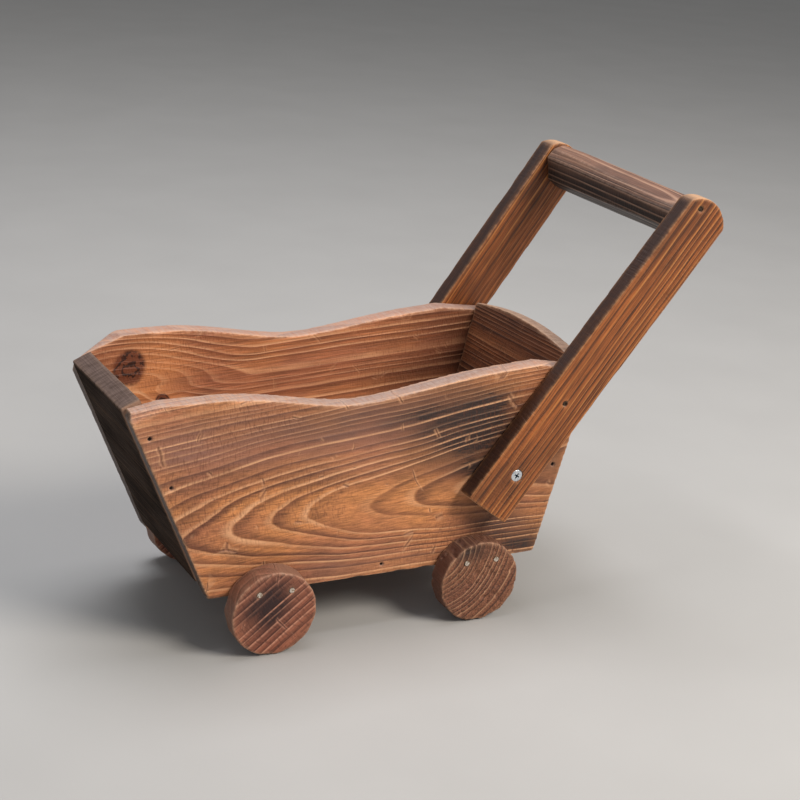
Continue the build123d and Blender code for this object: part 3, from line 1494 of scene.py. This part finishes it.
@dataclass
class Wheels:
    """Four sawn discs, nailed to the side boards. Sizes in millimetres."""

    radius: float = 26.5
    splay: float = SPLAY
    front_grain: float = 38.0  # degrees of the front wheels' grain above level
    flats: int = 11  # facets left by the saw round the rim
    flat_depth: float = 0.35
    seeds: dict[str, int] = field(
        default_factory=lambda: {
            "front_left": 71,
            "rear_left": 73,
            "front_right": 79,
            "rear_right": 83,
        }
    )

    def stock(self, node: str, side: Side, grain: float) -> Stock:
        """Gives a wheel's blank: the disc lies in x and z, and y points to the cart's right.

        Args:
            node: wheel's CAD node.
            side: side of the cart.
            grain: angle of the grain above level, in degrees.

        Returns:
            Blank with its origin at the wheel's centre.
        """
        low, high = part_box(node)
        turn = Euler((0, -math.radians(grain), math.radians(self.splay) * side.value))
        return Stock((low + high) / 2, turn)

    def rim_shaves(self, seed: int) -> tuple[Shave, ...]:
        """Places the saw's flats unevenly round the rim.

        Args:
            seed: seed of their angles and depths.

        Returns:
            Flats in the blank's axes.
        """
        draw = np.random.default_rng(seed)
        flats = []
        for i in range(self.flats):
            angle = math.tau * (i + draw.uniform(-0.3, 0.3)) / self.flats
            reach = self.radius - self.flat_depth * draw.uniform(0.3, 1.4)
            facing = (math.cos(angle), draw.uniform(-0.04, 0.04), math.sin(angle))
            flats.append(Shave((facing[0] * reach, 0.0, facing[2] * reach), facing))
        return tuple(flats)

    def finish(self, place: str, stock: Stock) -> BurntPine:
        """Gives a wheel's finish: long grain on the front wheels, end grain on the rear ones.

        Args:
            place: wheel's place in its name.
            stock: blank's place.

        Returns:
            The finish.
        """
        if place.startswith("front"):
            return BurntPine(
                f"burnt_pine_wheel_{place}",
                stock,
                pith=(0.0, -30.0, 60.0),
                lean=(3.0, 1.0),
                ring=5.0,
                early="#a3654a",
                tint="#8c503a",
                late="#4c261b",
                pale="#c98f74",
                char="#2a1412",
                sawn="#7c5a48",
                end="#7c5a48",
                worn="#c39a7c",
                sway=4.0,
                sawn_share=0.8,
                scorch=0.2,
                scorches_and_painted_shade=(Spot(2, 10, 30, 20, 1.3), Spot(-4, -2, 22, 14, 0.7)),
            )
        return BurntPine(
            f"burnt_pine_wheel_{place}",
            stock,
            pith=(-34.0, 0.0, 26.0),
            lean=(90.0, 0.0),
            ring=3.3,
            early="#8e5b3e",
            tint="#7c4c36",
            late="#43241a",
            pale="#cfa27c",
            char="#24130e",
            sawn="#5c3a2c",
            end="#5c3a2c",
            worn="#b88e6e",
            sway=5.0,
            sawn_share=0.8,
            streak=0.75,
            scorch=0.3,
            pale_share=0.5,
            checks=0.0,
            hatch=0.0,
            roughness=0.66,
            # Painted shadow: a dark crescent along the top of the wheel's face, towards the front
            scorches_and_painted_shade=(Spot(-8, 22, 26, 12, 1.0),),
        )

    def build(self) -> None:
        """Makes the four wheels."""
        for place, seed in self.seeds.items():
            end, hand_word = place.split("_")
            side = Side[hand_word.upper()]
            node = f"wheel_{place}"
            pitted = end == "rear"  # its end grain faces outwards
            stock = self.stock(node, side, 0.0 if pitted else self.front_grain)
            hand = Handwork(
                net=0.7,
                easing=2,
                seed=seed,
                wave_size=(22.0, 9.0, 22.0),
                furrow_size=(2.2, 12.0, 2.2) if pitted else (28.0, 2.0, 2.0),
                pit=0.7 if pitted else 0.0,
                edge_wear=0.3,
                shaves=self.rim_shaves(seed),
            )
            piece = hand.make(node, f"{place}_wheel", stock)
            settle(piece, self.finish(place, stock).material(), node)


@dataclass(frozen=True)
class ScrewHead:
    """Countersunk wood screw with a tapered cross recess. Sizes in millimetres."""

    length: float = 23.7
    radius: float = 3.75
    core: float = 1.6
    recess_span: float = 4.5
    recess_width: float = 1.15
    recess_depth: float = 1.7
    recess_foot: float = 0.5  # share of the span and width left at the recess's foot
    recess_reach: float = 2.6  # radius inside which what lies deep is the recess
    recess_brow: float = 0.5  # depth at which it starts
    tip: float = 3.0  # length of the point
    turned: float = 31.0  # degrees that the cross happens to be turned by
    crease: float = 28.0  # degrees past which an edge stays sharp
    segments: int = 48

    def lathe(self) -> bmesh.types.BMesh:
        """Turns the head and shank about the y axis, the head's face at y = 0.

        Returns:
            Closed mesh in metres.
        """
        work = bmesh.new()
        outline = (
            (0.0, 0.0),
            (2.4, 0.03),
            (3.3, 0.14),
            (self.radius - 0.1, 0.34),
            (self.radius, 0.62),
            (self.radius - 0.25, 0.95),
            (self.core, 2.9),
            (self.core, self.length - self.tip),
            (0.5, self.length - 0.5),
            (0.0, self.length),
        )
        corners = [work.verts.new((r * MM, y * MM, 0)) for r, y in outline]
        edges = [work.edges.new(pair) for pair in zip(corners, corners[1:])]
        bmesh.ops.spin(
            work,
            geom=[*corners, *edges],
            axis=(0, 1, 0),
            angle=math.tau,
            steps=self.segments,
            use_merge=True,
        )
        bmesh.ops.remove_doubles(work, verts=work.verts, dist=0.01 * MM)
        bmesh.ops.recalc_face_normals(work, faces=work.faces)
        return work

    def cross(self) -> bmesh.types.BMesh:
        """Makes the tapered cross that the recess is cut with.

        Returns:
            Two closed blocks in metres, which start above the head's face.
        """
        work = bmesh.new()
        for quarter in (0.0, math.pi / 2):
            arm = bmesh.ops.create_cube(work, size=1.0)["verts"]
            for corner in arm:
                deep = corner.co.y > 0
                share = self.recess_foot if deep else 1.0
                corner.co.x *= self.recess_span * share * MM
                corner.co.z *= self.recess_width * share * MM
                corner.co.y = self.recess_depth * MM if deep else -MM
            turn = Matrix.Rotation(quarter + math.radians(self.turned), 3, "Y")
            bmesh.ops.rotate(work, verts=arm, cent=(0, 0, 0), matrix=turn)
        bmesh.ops.recalc_face_normals(work, faces=work.faces)
        return work

    def make(self, node: str, name: str, side: Side, splay: float) -> bpy.types.Object:
        """Makes the screw that stands for a CAD node.

        Args:
            node: CAD node's name.
            name: piece's name.
            side: side of the cart that it is driven into.
            splay: side board's splay, in degrees.

        Returns:
            Object at the origin, with its place in its mesh.
        """
        holders = []
        for kind, work in (("turned", self.lathe()), ("cross", self.cross())):
            mesh = bpy.data.meshes.new(f"{name}_{kind}")
            work.to_mesh(mesh)
            work.free()
            holder = bpy.data.objects.new(mesh.name, mesh)
            bpy.context.scene.collection.objects.link(holder)
            holders.append(holder)
        cut = holders[0].modifiers.new("recess", "BOOLEAN")
        cut.operation, cut.solver, cut.use_self = "DIFFERENCE", "EXACT", True
        cut.object = holders[1]
        graph = bpy.context.evaluated_depsgraph_get()
        mesh = bpy.data.meshes.new_from_object(holders[0].evaluated_get(graph))
        for holder in holders:
            bpy.data.meshes.remove(holder.data)
        mesh.name = name
        # Marks the deep middle of the cross recess, where the material paints shade
        layer = mesh.attributes.new("recess", "FLOAT", "POINT")
        for corner, mark in zip(mesh.vertices, layer.data):
            near = math.hypot(corner.co.x, corner.co.z) < self.recess_reach * MM
            mark.value = float(near and corner.co.y > self.recess_brow * MM)
        low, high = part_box(node)
        yaw = math.radians(splay) * side.value + (math.pi if side is Side.RIGHT else 0.0)
        inward = Matrix.Rotation(yaw, 3, "Z") @ Vector((0, 1, 0))
        face = (low + high) / 2 - inward * self.length / 2 * MM
        mesh.transform(Matrix.Translation(face) @ Matrix.Rotation(yaw, 4, "Z"))
        mesh.shade_smooth()
        mesh.set_sharp_from_angle(angle=math.radians(self.crease))
        piece = bpy.data.objects.new(name, mesh)
        bpy.context.scene.collection.objects.link(piece)
        return piece


@dataclass
class Fasteners:
    """Nails and screws: the nails' CAD solids stay, each with its own steel."""

    splay: float = SPLAY
    brads: tuple[str, ...] = ("front_board_brads", "rear_board_brads", "floor_brad")
    wire_nails: tuple[str, ...] = ("handle_nail", "crossbar_nail")
    bright_nails: tuple[str, ...] = ("wheel_nails_front", "wheel_nails_rear")

    def build_nails(self) -> None:
        """Dresses every nail on both sides."""
        finishes = (
            # Painted shade: the brads are near-black as if seen sunk in their dark holes
            (self.brads, Wire("sunk_brads_painted_shade", "#3a3230", "#1d1614", 0.55)),
            (self.wire_nails, Wire("dull_steel_wire_nails", "#5a4e44", "#271d16", 0.5)),
            (self.bright_nails, Wire("bright_steel_wire_nails", "#e2d9cd", "#a08a72", 0.3)),
        )
        for names, wire in finishes:
            material = wire.material()
            for name in names:
                for side in Side:
                    node = f"{name}_{side.word}"
                    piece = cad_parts[node]
                    piece.data.materials.clear()
                    piece.data.materials.append(material)
                    LOG.info("%s: %s", node, wire.name)

    def build_screws(self) -> None:
        """Makes the zinc-plated screw in each arm."""
        # The dark blue is painted shade for the cross recess
        zinc = Wire("zinc_plated_steel_screws", "#e6eaee", "#b9c2cc", 0.26, recess="#15324a")
        material = zinc.material()
        for side in Side:
            node = f"handle_screw_{side.word}"
            piece = ScrewHead().make(node, f"{side.word}_handle_screw", side, self.splay)
            settle(piece, material, node)

    def build(self) -> None:
        """Makes and dresses all the fasteners."""
        self.build_nails()
        self.build_screws()


@dataclass(frozen=True)
class SoftBox:
    """Square soft box that points at the cart's middle, in metres and watts."""

    name: str
    place: tuple[float, float, float]
    size: float
    power: float
    colour: str


@dataclass
class Studio:
    """Pale floor, soft light and the camera. Lengths in metres."""

    eye: tuple[float, float, float] = (-0.479, -0.876, 0.491)
    ahead: tuple[float, float, float] = (0.4604, 0.8171, -0.3469)
    upward: tuple[float, float, float] = (0.1107, 0.3349, 0.9357)
    lens: float = 77.0  # millimetres, on a sensor of 36
    sensor: float = 36.0
    sight: float = 20.0  # how far the camera sees
    floor_half: float = 12.0
    cloud: float = 1 / 9  # size of a cloud in the floor's screed
    boxes: tuple[SoftBox, ...] = (
        SoftBox("key", (0.75, -1.15, 1.2), 0.7, 33.0, "#fff6ec"),
        SoftBox("top", (0.0, 0.3, 1.7), 1.1, 26.0, "#f8f9ff"),
        SoftBox("fill", (-1.3, -1.2, 0.9), 1.0, 3.0, "#f7f6ff"),
    )
    sky: str = "#e4e5e8"
    sky_strength: float = 0.36

    def build_floor(self) -> None:
        """Lays the floor: smooth pale screed with faint, broad clouds."""
        work = bmesh.new()
        bmesh.ops.create_grid(work, x_segments=2, y_segments=2, size=self.floor_half)
        mesh = bpy.data.meshes.new("studio_floor")
        work.to_mesh(mesh)
        work.free()
        floor = bpy.data.objects.new("studio_floor", mesh)
        bpy.context.scene.collection.objects.link(floor)
        material = bpy.data.materials.new("pale_screed")
        material.use_nodes = True
        tree = material.node_tree
        tree.nodes.clear()
        here = add(tree, "ShaderNodeTexCoord")
        cloud = add(
            tree,
            "ShaderNodeTexNoise",
            {"Vector": here.outputs["Object"], "Scale": 1 / self.cloud, "Detail": 3.0},
        )
        shade = add(
            tree,
            "ShaderNodeMix",
            {0: cloud.outputs[0], 6: linear("#9c9b98"), 7: linear("#a4a3a0")},
            data_type="RGBA",
        )
        surface = add(
            tree,
            "ShaderNodeBsdfPrincipled",
            {"Base Color": shade.outputs[2], "Roughness": 0.8},
        )
        add(tree, "ShaderNodeOutputMaterial", {"Surface": surface.outputs[0]})
        mesh.materials.append(material)

    def build_light(self) -> None:
        """Hangs the soft boxes and sets the sky's fill."""
        middle = (CAD_BOX[0] + CAD_BOX[1]) / 2
        for box in self.boxes:
            lamp = bpy.data.lights.new(f"{box.name}_soft_box", "AREA")
            lamp.size = box.size
            lamp.energy = box.power
            lamp.color = linear(box.colour)[:3]
            holder = bpy.data.objects.new(lamp.name, lamp)
            bpy.context.scene.collection.objects.link(holder)
            holder.location = box.place
            aim = middle - Vector(box.place)
            holder.rotation_euler = aim.to_track_quat("-Z", "Y").to_euler()
        world = bpy.data.worlds.new("studio_sky")
        bpy.context.scene.world = world
        world.use_nodes = True
        tree = world.node_tree
        tree.nodes.clear()
        sky = add(
            tree,
            "ShaderNodeBackground",
            {"Color": linear(self.sky), "Strength": self.sky_strength},
        )
        add(tree, "ShaderNodeOutputWorld", {"Surface": sky.outputs[0]})

    def build_camera(self) -> None:
        """Puts the camera at its viewing angle."""
        ahead, upward = Vector(self.ahead).normalized(), Vector(self.upward)
        across = ahead.cross(upward).normalized()
        upward = across.cross(ahead)
        camera = bpy.data.cameras.new("camera")
        camera.lens = self.lens
        camera.sensor_width = self.sensor
        camera.clip_end = self.sight
        holder = bpy.data.objects.new("camera", camera)
        bpy.context.scene.collection.objects.link(holder)
        turn = Matrix((across, upward, -ahead)).transposed().to_4x4()
        holder.matrix_world = Matrix.Translation(self.eye) @ turn
        bpy.context.scene.camera = holder

    def build(self) -> None:
        """Sets up the studio."""
        self.build_floor()
        self.build_light()
        self.build_camera()
        bpy.context.scene.view_settings.view_transform = "Standard"


def main() -> None:
    """Builds the planter and its studio in order."""
    logging.basicConfig(level=logging.INFO, format="%(name)s: %(message)s")
    for part in (Studio(), Tray(), Handle(), Wheels(), Fasteners()):
        part.build()
        LOG.info("%s done", type(part).__name__)


if __name__ == "__main__":
    main()
